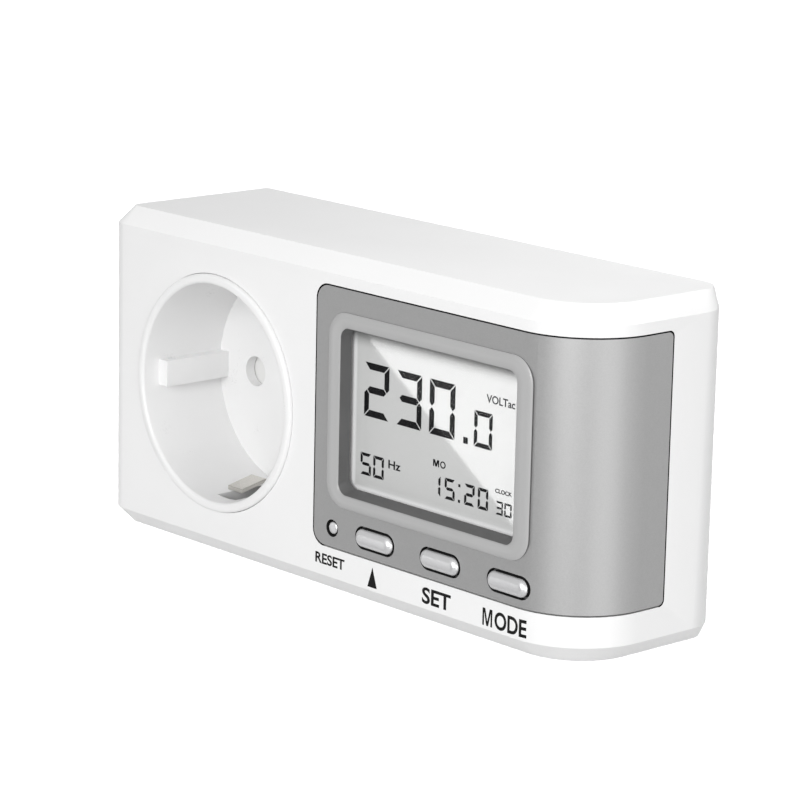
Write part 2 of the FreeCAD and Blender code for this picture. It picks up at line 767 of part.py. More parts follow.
def links():
    """Copper strips from the plug pins to the socket's clips: straight on one side, through the board on the other."""
    half = "strip_width / 2"
    flat = (f"-{half}", half)
    neutral = Piece("neutral_link")
    neutral.block((f"-pin_place - {half}", f"{half} - pin_place"), ("clip_back", "pin_start"),
                  ("-strip_thickness / 2", "strip_thickness / 2"))
    pad_end = "power_board_left + strip_width"
    column = "bore - collar_length"
    feed = Piece("live_feed_link")
    feed.block((f"pin_place - {half}", column), ("pin_start - strip_thickness", "pin_start"), flat)
    feed.block((f"{column} - strip_thickness", column), ("power_board_back", "pin_start"), flat)
    feed.block((f"{column} - strip_thickness", pad_end), ("power_board_back", "power_board_back + strip_thickness"),
               flat)
    level = ("clip_height / 2 + strip_clear", "clip_height / 2 + strip_width")
    back = "clip_back + strip_thickness"
    inner = f"{column} - strip_width"
    returned = Piece("live_return_link")
    returned.block((f"pin_place - {half}", inner), ("clip_back", back), level)
    returned.block((f"{inner} - strip_thickness", inner), ("power_board_back", back), level)
    returned.block((f"{inner} - strip_thickness", pad_end), ("power_board_back", "power_board_back + strip_thickness"),
                   level)


def fascia_panel():
    panel = Piece("fascia_panel")
    z = ("-fascia_bottom", "fascia_top")
    inner = "housing_right - fascia_thickness"
    bend = "housing_right - right_corner"
    panel.pad([
        ("fascia_left", "face", None),
        (bend, "face", "right_corner"),
        ("housing_right", "face + right_corner", None),
        ("housing_right", "face + fascia_end", None),
        (inner, "face + fascia_end", None),
        (inner, "face + right_corner", "right right_corner - fascia_thickness"),
        (bend, "face + fascia_thickness", None),
        ("fascia_left", "face + fascia_thickness", None),
    ], "XY_Plane", "-fascia_bottom", "fascia_top + fascia_bottom")
    panel.round_corners("fascia_corner", ("fascia_left",), z)
    panel.round("fascia_end_corner", *({"d": "fascia_end", "z": level} for level in z))
    sleeve_opening(panel, ("0", "fascia_thickness"), "fit_gap")
    cut_button_holes(panel, ("0", "2 * fascia_thickness"))


def display_frame():
    frame = Piece("display_frame")
    x = ("frame_left", "frame_right")
    z = ("-frame_bottom", "frame_top")
    frame.block(x, ("-frame_proud", "0"), z)
    frame.round_corners("frame_corner", x, z)
    frame.block(("sleeve_left", "sleeve_right"), ("-frame_proud / 2", "sleeve_depth"),
                ("-sleeve_bottom", "sleeve_top"))
    frame.round_corners("window_corner", ("sleeve_left", "sleeve_right"), ("-sleeve_bottom", "sleeve_top"))
    x = ("window_left", "window_right")
    z = ("-window_bottom", "window_top")
    frame.block(x, ("-frame_proud", "sleeve_depth"), z, cut=True)
    frame.round_corners("window_corner", x, z)
    frame.round("frame_round", {"d": "-frame_proud"})


def display_stack():
    lens = Piece("display_window")
    lens.block(("lens_left", "lens_right"), ("sleeve_depth", "lens_back"), ("-lens_bottom", "lens_top"))
    cell = Piece("lcd_glass")
    cell_z = ("-cell_bottom", "cell_top")
    cell.block(("cell_left", "cell_right"), ("lens_back", "cell_back"), cell_z)
    reflector = Piece("lcd_reflector")
    reflector.block(("cell_left", "cell_right"), ("cell_back", "cell_back + reflector_thickness"),
                    ("zebra_height + fit_gap - cell_bottom", "cell_top - zebra_height - fit_gap"))
    for name, z in (("zebra_strip_top", ("cell_top - zebra_height", "cell_top")),
                    ("zebra_strip_bottom", ("-cell_bottom", "zebra_height - cell_bottom"))):
        strip = Piece(name)
        strip.block(("cell_left", "cell_right"), ("cell_back", "display_board_depth"), z)
    holder = Piece("lcd_holder")
    holder.block(("holder_left", "holder_right"), ("wall + fit_gap", "display_board_depth"),
                 ("-holder_bottom", "holder_top"))
    holder.block(("lens_left - fit_gap", "lens_right + fit_gap"), ("wall", "lens_back"),
                 ("-(lens_bottom + fit_gap)", "lens_top + fit_gap"), cut=True)
    holder.block(("cell_left - fit_gap", "cell_right + fit_gap"), ("lens_back", "display_board_depth"),
                 ("-(cell_bottom + fit_gap)", "cell_top + fit_gap"), cut=True)


def buttons():
    """The three long buttons, the small sunk one, and the plunger of the switch behind each."""
    z = "-button_drop"
    lip = ("wall + fit_gap", "wall + fit_gap + button_lip_thickness")
    for name, x in button_places():
        cap = Piece(f"button_{name}")
        cap.pill(x, z, "button_length", "button_height", ("-button_proud", lip[1]))
        cap.round("button_round", {"d": "-button_proud"})
        cap.pill(x, z, "lip_length", "lip_height", lip)
        cap.rod(x, z, (lip[0], "plunger_front"), "stem_radius")
    reset = Piece("button_reset")
    reset.rod("reset_place", z, ("reset_sunk", lip[1]), "reset_radius")
    reset.round("reset_radius / 3", {"d": "reset_sunk"})
    reset.rod("reset_place", z, lip, "reset_radius + button_lip")
    reset.rod("reset_place", z, (lip[0], "plunger_front"), "reset_stem_radius")
    for name, x in button_places() + [("reset", "reset_place")]:
        plunger = Piece(f"plunger_{name}")
        plunger.rod(x, z, ("plunger_front", "plunger_front + plunger_length"), "plunger_radius")


def tact_switches():
    bodies = []
    half = "switch_size / 2"
    for name, x in button_places() + [("reset", "reset_place")]:
        switch = Piece(f"switch_{name}", keep=False)
        switch.block((f"{x} - {half}", f"{x} + {half}"), ("switch_front", "display_board_depth"),
                     (f"-button_drop - {half}", f"{half} - button_drop"))
        switch.rod(x, "-button_drop", ("switch_front", "display_board_depth - fit_gap"),
                   "plunger_radius + pivot_clearance", cut=True)
        bodies.append(switch)
    group("tact_switches", bodies)


def boards():
    z = ("-board_half_height", "board_half_height")
    display = Piece("display_board")
    display.block(("display_board_left", "board_right"), ("display_board_depth", "display_board_back"), z)
    power = Piece("power_board")
    power.block(("power_board_left", "board_right"), ("power_board_depth", "power_board_back"), z)
    for x, level in post_places():
        power.rod(x, level, ("power_board_depth", "power_board_back"), "board_screw_radius + fit_gap", cut=True)
    pillars = []
    for x, level in pillar_places():
        pillar = Piece("board_pillar", keep=False)
        pillar.rod(x, level, ("display_board_back", "power_board_depth"), "pillar_radius")
        pillars.append(pillar)
    group("board_pillars", pillars)


def around(place, span):
    """The two ends of a span about a place."""
    return f"{place} - ({span}) / 2", f"{place} + ({span}) / 2"


def display_board_parts():
    back = "display_board_back"
    chip = Piece("display_controller")
    chip.block(around("controller_place", "controller_size"), (back, f"{back} + controller_thickness"),
               around("controller_level", "controller_size"))
    crystal = Piece("clock_crystal")
    crystal.cross_rod(around("crystal_place", "crystal_length"), f"{back} + crystal_radius", "-crystal_level",
                      "crystal_radius")
    cell = Piece("backup_battery")
    cell_end = f"{back} + battery_thickness"
    cell.rod("battery_place", "battery_level", (back, cell_end), "battery_radius")
    clip = Piece("battery_clip")
    z = around("battery_level", "clip_strap_width")
    left, right = around("battery_place", "2 * (battery_radius + battery_gap + clip_leg)")
    clip.block((left, right), (cell_end, f"{cell_end} + clip_strap"), z)
    clip.block((left, f"{left} + clip_leg"), (back, f"{cell_end} + clip_strap"), z)
    clip.block((f"{right} - clip_leg", right), (back, f"{cell_end} + clip_strap"), z)
    link_header_and_pins(back)


def link_header_and_pins(back):
    """The row of pins that joins the two boards, and the socket strip on the power board."""
    count = 6
    d = ("power_board_depth - link_length", "power_board_depth")
    header = Piece("link_header")
    header.block(("link_place - link_margin", f"link_place + {count - 1} * link_pitch + link_margin"), d,
                 around("link_level", "2 * link_margin"))
    pins = []
    for step in range(count):
        x = f"(link_place + {step} * link_pitch)"
        header.rod(x, "link_level", d, "link_hole", cut=True)
        pin = Piece("link_pin", keep=False)
        pin.rod(x, "link_level", (back, "power_board_depth"), "link_radius")
        pins.append(pin)
    group("board_link_pins", pins)


def power_board_parts():
    front = "power_board_depth"
    film_end = f"{front} - film_height"
    capacitor = Piece("film_capacitor")
    capacitor.block(around("film_place", "film_length"), (film_end, front), around("-film_level", "film_width"))
    capacitor.round("film_round", {"d": film_end})
    reservoir_end = f"{front} - reservoir_height"
    reservoir = Piece("reservoir_capacitor")
    reservoir.rod("reservoir_place", "-reservoir_level", (reservoir_end, front), "reservoir_radius")
    reservoir.round("reservoir_round", {"d": reservoir_end})
    chip = Piece("metering_chip")
    chip.block(around("meter_chip_place", "meter_chip_length"), (f"{front} - meter_chip_height", front),
               around("meter_chip_level", "meter_chip_width"))
    varistor = Piece("varistor")
    varistor.cross_rod(around("varistor_place", "varistor_thickness"), f"{front} - varistor_height",
                       "varistor_level", "varistor_radius")
    for side in "-+":
        varistor.block(around("varistor_place", "varistor_lead"), (f"{front} - varistor_lead_length", front),
                       around(f"(varistor_level {side} varistor_lead_spacing / 2)", "varistor_lead"))
    dropper_resistor(front)
    shunt = Piece("shunt_resistor")
    x = ("power_board_left + fit_gap", "power_board_left + strip_width")
    top = f"{front} - shunt_height"
    shunt.block(x, (top, f"{top} + shunt_thickness"), ("-shunt_bottom", "shunt_top"))
    shunt.block(x, (top, front), ("-shunt_bottom", "shunt_thickness - shunt_bottom"))
    shunt.block(x, (top, front), ("shunt_top - shunt_thickness", "shunt_top"))


def dropper_resistor(front):
    resistor = Piece("dropper_resistor")
    level = f"{front} - dropper_height"
    resistor.cross_rod(around("dropper_place", "dropper_length"), level, "dropper_level", "dropper_radius")
    resistor.cross_rod(around("dropper_place", "dropper_span"), level, "dropper_level", "dropper_wire")
    for x in around("dropper_place", "dropper_span - 2 * dropper_wire_inset"):
        resistor.rod(f"({x})", "dropper_level", (level, front), "dropper_wire")


def check_and_write():
    DOC.recompute()
    for thing in DOC.Objects:
        if "Invalid" in thing.State or "Error" in thing.State:
            raise ValueError(f"{thing.Label} of {thing.Name} is {thing.State}")
    os.makedirs("parts", exist_ok=True)
    for made in PARTS:
        shape = made.Shape
        if shape.isNull() or not shape.isValid() or shape.Volume <= 0:
            raise ValueError(f"{made.Label} has no valid solid")
        shape.exportStep(f"parts/{made.Label}.step")
        print(made.Label, len(shape.Solids), round(shape.Volume, 1))


front_shell()
rear_cover()
screws()
socket_insert()
shutter()
contact_carrier()
contact_clips()
plug()
earth_strips()
links()
fascia_panel()
display_frame()
display_stack()
buttons()
tact_switches()
boards()
display_board_parts()
power_board_parts()
check_and_write()
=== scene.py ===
"""A plug-in power meter: white housing, grey fascia with a display and push buttons, a socket and a wall plug."""
import math

import bmesh
import bpy
from mathutils import Matrix, Vector


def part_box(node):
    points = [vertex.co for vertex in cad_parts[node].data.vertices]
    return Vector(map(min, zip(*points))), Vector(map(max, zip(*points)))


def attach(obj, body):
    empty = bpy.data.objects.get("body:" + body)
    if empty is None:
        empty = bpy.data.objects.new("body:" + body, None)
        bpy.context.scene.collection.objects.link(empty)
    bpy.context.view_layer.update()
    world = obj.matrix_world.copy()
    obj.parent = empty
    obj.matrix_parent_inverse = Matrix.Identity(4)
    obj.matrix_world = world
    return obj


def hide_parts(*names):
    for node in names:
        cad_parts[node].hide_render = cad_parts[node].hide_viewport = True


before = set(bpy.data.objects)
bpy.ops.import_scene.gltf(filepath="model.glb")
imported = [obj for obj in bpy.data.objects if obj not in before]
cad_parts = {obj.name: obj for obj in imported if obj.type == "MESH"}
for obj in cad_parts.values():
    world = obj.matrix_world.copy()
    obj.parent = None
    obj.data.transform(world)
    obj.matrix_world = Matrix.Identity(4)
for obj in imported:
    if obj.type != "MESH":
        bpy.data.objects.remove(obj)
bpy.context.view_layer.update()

MM = 0.001
FLAT = math.radians(0.4)               # faces that meet at less than this are one face
CREASE = math.radians(30)              # edges sharper than this are eased and shaded sharp
LOFT_CREASE = math.radians(40)
EASE_STEPS = 3                         # cuts across an eased edge
CORNER_STEPS = 10                      # cuts round a quarter turn
MERGE = 0.000002                       # corners nearer than this are one corner
HOUSING = "housing"
SKIN = 0.02 * MM                       # thickness of printed ink

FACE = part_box("fascia_panel")[0].y     # the flat front of the housing
SHELL_LOW, SHELL_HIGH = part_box("front_shell")
FASCIA_LOW, FASCIA_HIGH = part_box("fascia_panel")
CELL_LOW, CELL_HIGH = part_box("lcd_glass")
LENS_LOW, LENS_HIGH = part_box("display_window")
RIM_LOW, RIM_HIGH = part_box("display_frame")
BEND = 14 * MM                         # radius of the wrapped front corner
BEND_START = SHELL_HIGH.x - BEND
LENS_LIP = 1.6 * MM                    # how far the window reaches behind its frame
WINDOW_LOW = LENS_LOW + Vector((LENS_LIP, 0, LENS_LIP))
WINDOW_HIGH = LENS_HIGH - Vector((LENS_LIP, 0, LENS_LIP))
SILL = 0.8 * MM                        # how far the foot of the frame's wall slopes up over the display
FORWARD, BACKWARD = -1.0, 1.0          # which way a solder joint stands along the depth
JOINT_SEED = 4                         # for the slightly different sizes of the solder joints


# ---------------------------------------------------------------- camera, floor and lights

CAMERA_AT = Vector((0.46573, -0.44422, 0.13833))
AZIMUTH, ELEVATION, ROLL = 47.666, 13.033, 1.274
LENS_MM = 154.36
FLOOR_DROP = 0.35                      # floor below the housing
SKY = 0.55                             # strength of the even light from all round
FLOOR_SIZE = 16
FLOOR_GREY = 0.52
BEHIND_AWAY = 3.4                      # from the camera to the light that brightens the floor behind
BEHIND_RAISED = 1.2


def make_camera():
    camera = bpy.data.objects.new("camera", bpy.data.cameras.new("camera"))
    bpy.context.collection.objects.link(camera)
    camera.data.lens = LENS_MM
    camera.data.clip_start = 0.01
    turn = Matrix.Rotation(math.radians(AZIMUTH), 4, "Z") @ Matrix.Rotation(math.radians(90 - ELEVATION), 4, "X")
    camera.matrix_world = Matrix.Translation(CAMERA_AT) @ turn @ Matrix.Rotation(math.radians(ROLL), 4, "Z")
    bpy.context.scene.camera = camera


def area_light(name, place, target, size, power, spread=180):
    """A soft box of a given width and height that faces a target. It doesn't show in the picture itself."""
    data = bpy.data.lights.new(name, "AREA")
    data.shape = "RECTANGLE"
    data.size, data.size_y = size
    data.energy = power
    data.spread = math.radians(spread)
    light = bpy.data.objects.new(name, data)
    bpy.context.collection.objects.link(light)
    light.location = place
    light.rotation_euler = (Vector(target) - Vector(place)).to_track_quat("-Z", "Y").to_euler()
    light.visible_camera = False
    return light


def make_studio():
    scene = bpy.context.scene
    scene.view_settings.view_transform = "Standard"
    world = bpy.data.worlds.new("studio")
    world.use_nodes = True
    world.node_tree.nodes["Background"].inputs["Color"].default_value = (1, 1, 1, 1)
    world.node_tree.nodes["Background"].inputs["Strength"].default_value = SKY
    scene.world = world
    front = Vector((0.03, FACE, 0))
    corner = Vector((SHELL_HIGH.x - 10 * MM, FACE, 0))
    roof = Vector((0.078, -0.01, 0.03))
    # Each soft box: what it faces, where it stands from there, its width and height, its power.
    for name, target, away, size, power in (
        ("key", front, Vector((0.399, -0.798, 0.2565)), (0.45, 0.45), 5.2),
        ("top", roof, Vector((0.006, 0.005, 0.12)), (0.06, 0.06), 0.062),
        ("strip", corner, Vector((0.9, -0.17, -0.16)), (0.62, 0.9), 3.0),
        ("side", corner, Vector((0.75, 0.60, -0.1)), (0.8, 0.9), 0.95),
    ):
        area_light(name, target + away, target, size, power)
    onward = Matrix.Rotation(math.radians(AZIMUTH), 3, "Z") @ Vector((0, 1, 0))
    over = CAMERA_AT + BEHIND_AWAY * onward + Vector((0, 0, BEHIND_RAISED))
    behind = area_light("behind", over, over - Vector((0, 0, 1)), (1.8, 4.4), 56, spread=70)
    behind.rotation_euler = (0, 0, math.radians(AZIMUTH))
    bpy.ops.mesh.primitive_plane_add(size=FLOOR_SIZE, location=(0, 0, SHELL_LOW.z - FLOOR_DROP))
    floor = bpy.context.object
    floor.name = "floor"
    pale = bpy.data.materials.new("pale_floor")
    pale.use_nodes = True
    shader = pale.node_tree.nodes["Principled BSDF"]
    shader.inputs["Base Color"].default_value = (FLOOR_GREY, FLOOR_GREY, FLOOR_GREY, 1)
    shader.inputs["Roughness"].default_value = 0.9
    floor.data.materials.append(pale)


def window_glare():
    """A soft box whose reflection lies across the upper right half of the display, from corner to corner."""
    mirrored = CAMERA_AT.copy()
    mirrored.y = 2 * CELL_LOW.y - CAMERA_AT.y
    away = 0.9                         # distance of the box, as a share of the camera's
    length, width, power = 0.115, 0.058, 0.072

    def seen(x, z):
        """Where the box has to be for its reflection to show at this place on the display."""
        spot = Vector((x, CELL_LOW.y, z))
        return spot + (spot - mirrored) * away

    start = seen(WINDOW_LOW.x + 0.5 * MM, WINDOW_HIGH.z)
    end = seen(WINDOW_HIGH.x - 1.5 * MM, WINDOW_LOW.z + 1 * MM)
    corner = seen(WINDOW_HIGH.x, WINDOW_HIGH.z)
    along = (end - start).normalized()
    across = (corner - start) - along * (corner - start).dot(along)
    across.normalize()
    facing = along.cross(across)
    if facing.dot(Vector((CELL_LOW.x, FACE, 0)) - start) > 0:
        facing.negate()
    sideways = across.cross(facing)
    centre = (start + end) / 2 + across * (width / 2)
    light = area_light("window_glare", centre, centre - facing, (length, width), power)
    light.matrix_world = Matrix.Translation(centre) @ Matrix((sideways, across, facing)).transposed().to_4x4()


# ---------------------------------------------------------------- materials

GLASSY = {"Coat_Weight": 0.1, "Coat_Roughness": 0.02, "Specular_IOR_Level": 0.1}


class Wire:
    """One output of a node. Arithmetic on it adds Math nodes."""

    def __init__(self, nodes, socket):
        self.nodes = nodes
        self.socket = socket

    def maths(self, operation, *values):
        return self.nodes.add("ShaderNodeMath", {"operation": operation}, dict(enumerate(values)))

    def __add__(self, other):
        return self.maths("ADD", self, other)

    def __sub__(self, other):
        return self.maths("SUBTRACT", self, other)

    def __rsub__(self, other):
        return self.maths("SUBTRACT", other, self)

    def __mul__(self, other):
        return self.maths("MULTIPLY", self, other)

    def __truediv__(self, other):
        return self.maths("DIVIDE", self, other)

    def __gt__(self, other):
        return self.maths("GREATER_THAN", self, other)

    __radd__ = __add__
    __rmul__ = __mul__

    def clipped(self):
        return self.nodes.add("ShaderNodeMath", {"operation": "ADD", "use_clamp": True}, {0: self, 1: 0.0})

    def to_range(self, low, high):
        """0 to 1 becomes low to high."""
        return self * (high - low) + low


class Nodes:
    """A node tree, wired up node by node."""

    def __init__(self, tree):
        self.tree = tree

    def add(self, kind, settings=None, inputs=None, output=0):
        """A node of any type: its settings first, then the values or wires of its inputs."""
        node = self.tree.nodes.new(kind)
        for field, setting in (settings or {}).items():
            setattr(node, field, setting)
        for socket, given in (inputs or {}).items():
            self.connect(node.inputs[socket], given)
        return Wire(self, node.outputs[output])

    def connect(self, socket, given):
        if isinstance(given, Wire):
            self.tree.links.new(given.socket, socket)
        else:
            socket.default_value = given


class Finish(Nodes):
    """A material and its shader."""

    def __init__(self, name, colour, roughness, metallic=0.0, **plain):
        self.material = bpy.data.materials.new(name)
        self.material.use_nodes = True
        super().__init__(self.material.node_tree)
        self.shader = self.tree.nodes["Principled BSDF"]
        self.feed("Base Color", (*colour, 1))
        self.feed("Roughness", roughness)
        self.feed("Metallic", metallic)
        for socket, number in plain.items():
            self.feed(socket.replace("_", " "), number)

    def feed(self, socket, given):
        self.connect(self.shader.inputs[socket], given)

    def place(self):
        return self.add("ShaderNodeTexCoord", output="Object")

    def axis(self, letter):
        return self.add("ShaderNodeSeparateXYZ", None, {0: self.place()}, letter)

    def noise(self, size, detail=2.0, roughness=0.5):
        """Noise whose lumps are about this many metres across, from 0 to 1."""
        return self.add("ShaderNodeTexNoise", None, {
            "Vector": self.place(), "Scale": 1 / size, "Detail": detail, "Roughness": roughness})

    def step(self, wire, start, end):
        """0 before start, 1 after end, and smooth between them."""
        return self.add("ShaderNodeMapRange", {"interpolation_type": "SMOOTHSTEP"},
                        {"Value": wire, "From Min": start, "From Max": end})

    def mix(self, factor, first, second):
        return self.add("ShaderNodeMix", {"data_type": "RGBA"}, {
            0: factor, 6: first if isinstance(first, Wire) else (*first, 1),
            7: second if isinstance(second, Wire) else (*second, 1)}, output=2)

    def bump(self, height, depth):
        """Relief of this depth in metres."""
        self.feed("Normal", self.add("ShaderNodeBump", None, {
            "Height": height, "Distance": depth, "Strength": 1.0}))


def shade(colour, by):
    return tuple(min(1.0, part * by) for part in colour)


def moulded(name, colour, roughness, depth=0.006 * MM):
    """Moulded plastic: a fine spark-eroded grain, faint flow marks and slightly uneven gloss."""
    made = Finish(name, colour, roughness)
    flow = made.noise(18 * MM, 3.0)
    made.feed("Base Color", made.mix(flow, shade(colour, 0.975), shade(colour, 1.012)))
    fine = made.noise(0.35 * MM, 3.0, 0.6)
    made.feed("Roughness", made.noise(6 * MM).to_range(roughness - 0.05, roughness + 0.05) + (fine - 0.5) * 0.08)
    made.bump(fine, depth)
    return made.material


def silver_paint(name, colour, roughness):
    """Satin silver lacquer: tiny flakes in a grey base."""
    made = Finish(name, colour, roughness, 0.8, Coat_Roughness=0.25)
    flakes = made.add("ShaderNodeTexVoronoi", None, {"Vector": made.place(), "Scale": 1 / (0.12 * MM)}, "Color")
    sparkle = made.add("ShaderNodeSeparateColor", None, {0: flakes}, "Red")
    made.feed("Base Color", made.mix(sparkle, shade(colour, 0.95), shade(colour, 1.06)))
    made.feed("Roughness", sparkle.to_range(roughness - 0.04, roughness + 0.06))
    made.feed("Coat Weight", 0.15)
    made.bump(made.noise(0.5 * MM), 0.004 * MM)
    return made.material


def polished_silver(name, colour, roughness):
    """Bright plated plastic with a faint cloudiness."""
    made = Finish(name, colour, roughness, 0.9)
    cloud = made.noise(2 * MM, 3.0)
    made.feed("Base Color", made.mix(cloud, shade(colour, 0.97), shade(colour, 1.03)))
    made.feed("Roughness", cloud.to_range(roughness - 0.03, roughness + 0.05))
    made.bump(made.noise(0.6 * MM), 0.002 * MM)
    return made.material


def rim_plastic():
    """The display frame: pale glossy outside, matt down the walls of the window, whose dark grey is painted shade.
    """
    # dark: a painted shade for the walls of the window recess
    pale, dark = (0.42, 0.42, 0.42), (0.12, 0.12, 0.12)
    made = Finish("rim_plastic", pale, 0.3)
    inside = made.step(made.axis("Y"), FACE - 0.12 * MM, FACE - 0.06 * MM)
    flow = made.noise(9 * MM)
    # painted shade: inside picks the walls of the window, behind the face, and darkens them
    made.feed("Base Color", made.mix(inside, made.mix(flow, shade(pale, 0.97), shade(pale, 1.03)), dark))
    made.feed("Roughness", inside.to_range(0.3, 0.55) + (made.noise(0.4 * MM) - 0.5) * 0.06)
    made.bump(made.noise(0.3 * MM), 0.004 * MM)
    return made.material


def metal(name, colour, roughness=0.28):
    """Plated or rolled metal with fine drawn lines along the depth."""
    line_width = 0.2 * MM
    made = Finish(name, colour, roughness, 1.0)
    stretched = made.add("ShaderNodeMapping", None, {"Vector": made.place(), "Scale": (1, 0.04, 1)})
    lines = made.add("ShaderNodeTexNoise", None, {"Vector": stretched, "Scale": 1 / line_width, "Detail": 3.0})
    stain = made.noise(3 * MM, 4.0)
    made.feed("Base Color", made.mix(stain, shade(colour, 0.9), shade(colour, 1.05)))
    made.feed("Roughness", lines.to_range(roughness - 0.08, roughness + 0.12))
    made.bump(lines, 0.004 * MM)
    return made.material


def display_face():
    """The display: pearl grey with a painted glare that leaves it darker towards the bottom left, a painted shadow
    under its frame, a painted highlight along its left and lower edges, a faint painted glow, and dull along the
    edges.
    """
    # low and high: the two ends of a painted glare, darker at the bottom left and lighter at the top right
    low, high = (0.58, 0.585, 0.58), (0.66, 0.665, 0.66)
    # painted highlight: a pale line along the left and lower edges of the display, where their bevel would catch the
    # light
    painted_edge_highlight = (0.85, 0.85, 0.85)
    made = Finish("display_face", high, 0.45, Coat_Roughness=0.02, Coat_IOR=1.8, Emission_Strength=0.1)
    across = (made.axis("X") - CELL_LOW.x) / (CELL_HIGH.x - CELL_LOW.x)
    up = (made.axis("Z") - CELL_LOW.z) / (CELL_HIGH.z - CELL_LOW.z)
    # painted reflection: the slant lightens the display towards the top right in place of glare on the glass; the
    # pearl noise is its own uneven tone
    slant = ((across + up) * 0.5).clipped()
    pearl = (made.noise(0.15 * MM, 4.0) - 0.5) * 0.06
    colour = made.mix((slant + pearl).clipped(), low, high)
    from_left, from_foot = made.axis("X") - WINDOW_LOW.x, made.axis("Z") - (WINDOW_LOW.z + SILL)
    below_top = WINDOW_HIGH.z - made.axis("Z")
    edge = from_left.maths("MINIMUM", from_left, from_foot)
    # painted highlight along the left and lower edges of the display
    colour = made.mix(made.step(edge, 0.9 * MM, 0.1 * MM), colour, painted_edge_highlight)
    # painted shadow: the display is darker just under the top of its frame, where the frame's shade falls
    shaded = made.step(below_top, 4.0 * MM, 0.4 * MM)
    colour = made.mix(shaded, colour, shade(low, 0.25))
    made.feed("Base Color", colour)
    # painted glow: the display gives off its own colour faintly (emission strength 0.1), though it is no lamp
    made.feed("Emission Color", colour)
    open_sides = made.step(from_left, 1.8 * MM, 4.4 * MM) * made.step(from_foot, 0.9 * MM, 1.5 * MM)
    made.feed("Coat Weight", open_sides * made.step(below_top, 1.0 * MM, 3.0 * MM))
    return made.material


def clear_window():
    """A thin clear window: only its gloss shows."""
    made = Finish("clear_window", (0.02, 0.02, 0.02), 0.02, Alpha=0.03, IOR=1.5)
    made.feed("Alpha", made.noise(20 * MM).to_range(0.02, 0.04))
    made.feed("Roughness", made.noise(4 * MM).to_range(0.015, 0.035))
    return made.material


def ink(name, colour, roughness, **plain):
    """Pad-printed ink, slightly uneven."""
    made = Finish(name, colour, roughness, **plain)
    cover = made.noise(0.25 * MM, 3.0)
    made.feed("Base Color", made.mix(cover, colour, tuple(part + 0.006 for part in colour)))
    made.feed("Roughness", cover.to_range(roughness - 0.08, roughness + 0.08))
    made.bump(cover, 0.003 * MM)
    return made.material


def circuit_board():
    """Green solder mask over tracks that run square to the board's edges, with tinned pads."""
    mask, track, pad = (0.02, 0.13, 0.05), (0.035, 0.21, 0.085), (0.62, 0.6, 0.55)
    made = Finish("circuit_board", mask, 0.35)
    cells = {"Vector": made.place(), "Scale": 1 / (2.5 * MM), "Randomness": 1.0}
    lines = made.add("ShaderNodeTexVoronoi", {"feature": "F1", "distance": "CHEBYCHEV"}, cells)
    ridges = made.step(lines.maths("PINGPONG", lines, 0.12), 0.07, 0.08)
    dots = made.add("ShaderNodeTexVoronoi", {"feature": "F1"}, cells)
    pads = 1 - made.step(dots, 0.1, 0.13)
    made.feed("Base Color", made.mix(pads, made.mix(ridges, mask, track), pad))
    made.feed("Metallic", pads * 0.9)
    made.feed("Roughness", made.noise(1 * MM).to_range(0.28, 0.42))
    made.bump(ridges + pads, 0.02 * MM)
    return made.material


def striped_rubber():
    """Layers of black and pink silicone across the strip."""
    made = Finish("striped_rubber", (0.05, 0.05, 0.05), 0.6)
    layers = made.axis("X") / (0.25 * MM)
    bands = layers.maths("FRACT", layers) > 0.5
    made.feed("Base Color", made.mix(bands, (0.03, 0.03, 0.03), (0.5, 0.22, 0.2)))
    made.bump(made.noise(0.2 * MM), 0.01 * MM)
    return made.material


def make_materials():
    white = (0.87, 0.87, 0.87)
    return {
        "white": moulded("housing_white", white, 0.4),
        "socket": moulded("socket_white", (0.85, 0.85, 0.85), 0.3, depth=0.003 * MM),
        "shutter": moulded("shutter_white", (0.78, 0.78, 0.77), 0.45),
        "plug": moulded("plug_grey", (0.62, 0.62, 0.62), 0.45),
        "fascia": silver_paint("fascia_silver", (0.475, 0.475, 0.475), 0.5),
        "rim": rim_plastic(),
        "window": clear_window(),
        "display": display_face(),
        "button": polished_silver("button_silver", (0.87, 0.87, 0.88), 0.36),
        "ink": ink("legend_ink", (0.004, 0.004, 0.004), 0.5, Specular_IOR_Level=0.15),
        "segment": ink("segment_black", (0.003, 0.003, 0.004), 0.4, **GLASSY),
        "unit": ink("unit_grey", (0.03, 0.03, 0.033), 0.4, **GLASSY),
        "dark": moulded("dark_plastic", (0.03, 0.03, 0.032), 0.5),
        "holder": moulded("holder_grey", (0.08, 0.08, 0.08), 0.5),
        # painted shadow: a near-black material for faces that stand for the shade inside gaps, holes and behind the
        # fascia
        "gap": moulded("gap_shadow", (0.004, 0.004, 0.004), 0.9),
        "brass": metal("brass", (0.78, 0.58, 0.26)),
        "nickel": metal("nickel_plate", (0.68, 0.66, 0.62), 0.22),
        "steel": metal("zinc_steel", (0.56, 0.57, 0.6), 0.3),
        "solder": metal("solder", (0.72, 0.72, 0.74), 0.2),
        "board": circuit_board(),
        "rubber": striped_rubber(),
        "film": moulded("reflector_pearl", (0.8, 0.8, 0.78), 0.25),
        "yellow": moulded("capacitor_yellow", (0.72, 0.5, 0.06), 0.4),
        "sleeve": moulded("capacitor_sleeve", (0.025, 0.025, 0.03), 0.25),
        "blue": moulded("varistor_blue", (0.04, 0.13, 0.34), 0.25),
        "tan": moulded("resistor_tan", (0.6, 0.45, 0.28), 0.45),
    }


# ---------------------------------------------------------------- pieces

def plain(piece):
    """Turn a piece's modifiers into plain mesh at the origin."""
    depsgraph = bpy.context.evaluated_depsgraph_get()
    mesh = bpy.data.meshes.new_from_object(piece.evaluated_get(depsgraph))
    mesh.transform(piece.matrix_world)
    piece.modifiers.clear()
    piece.data = mesh
    piece.matrix_world = Matrix.Identity(4)
    return piece


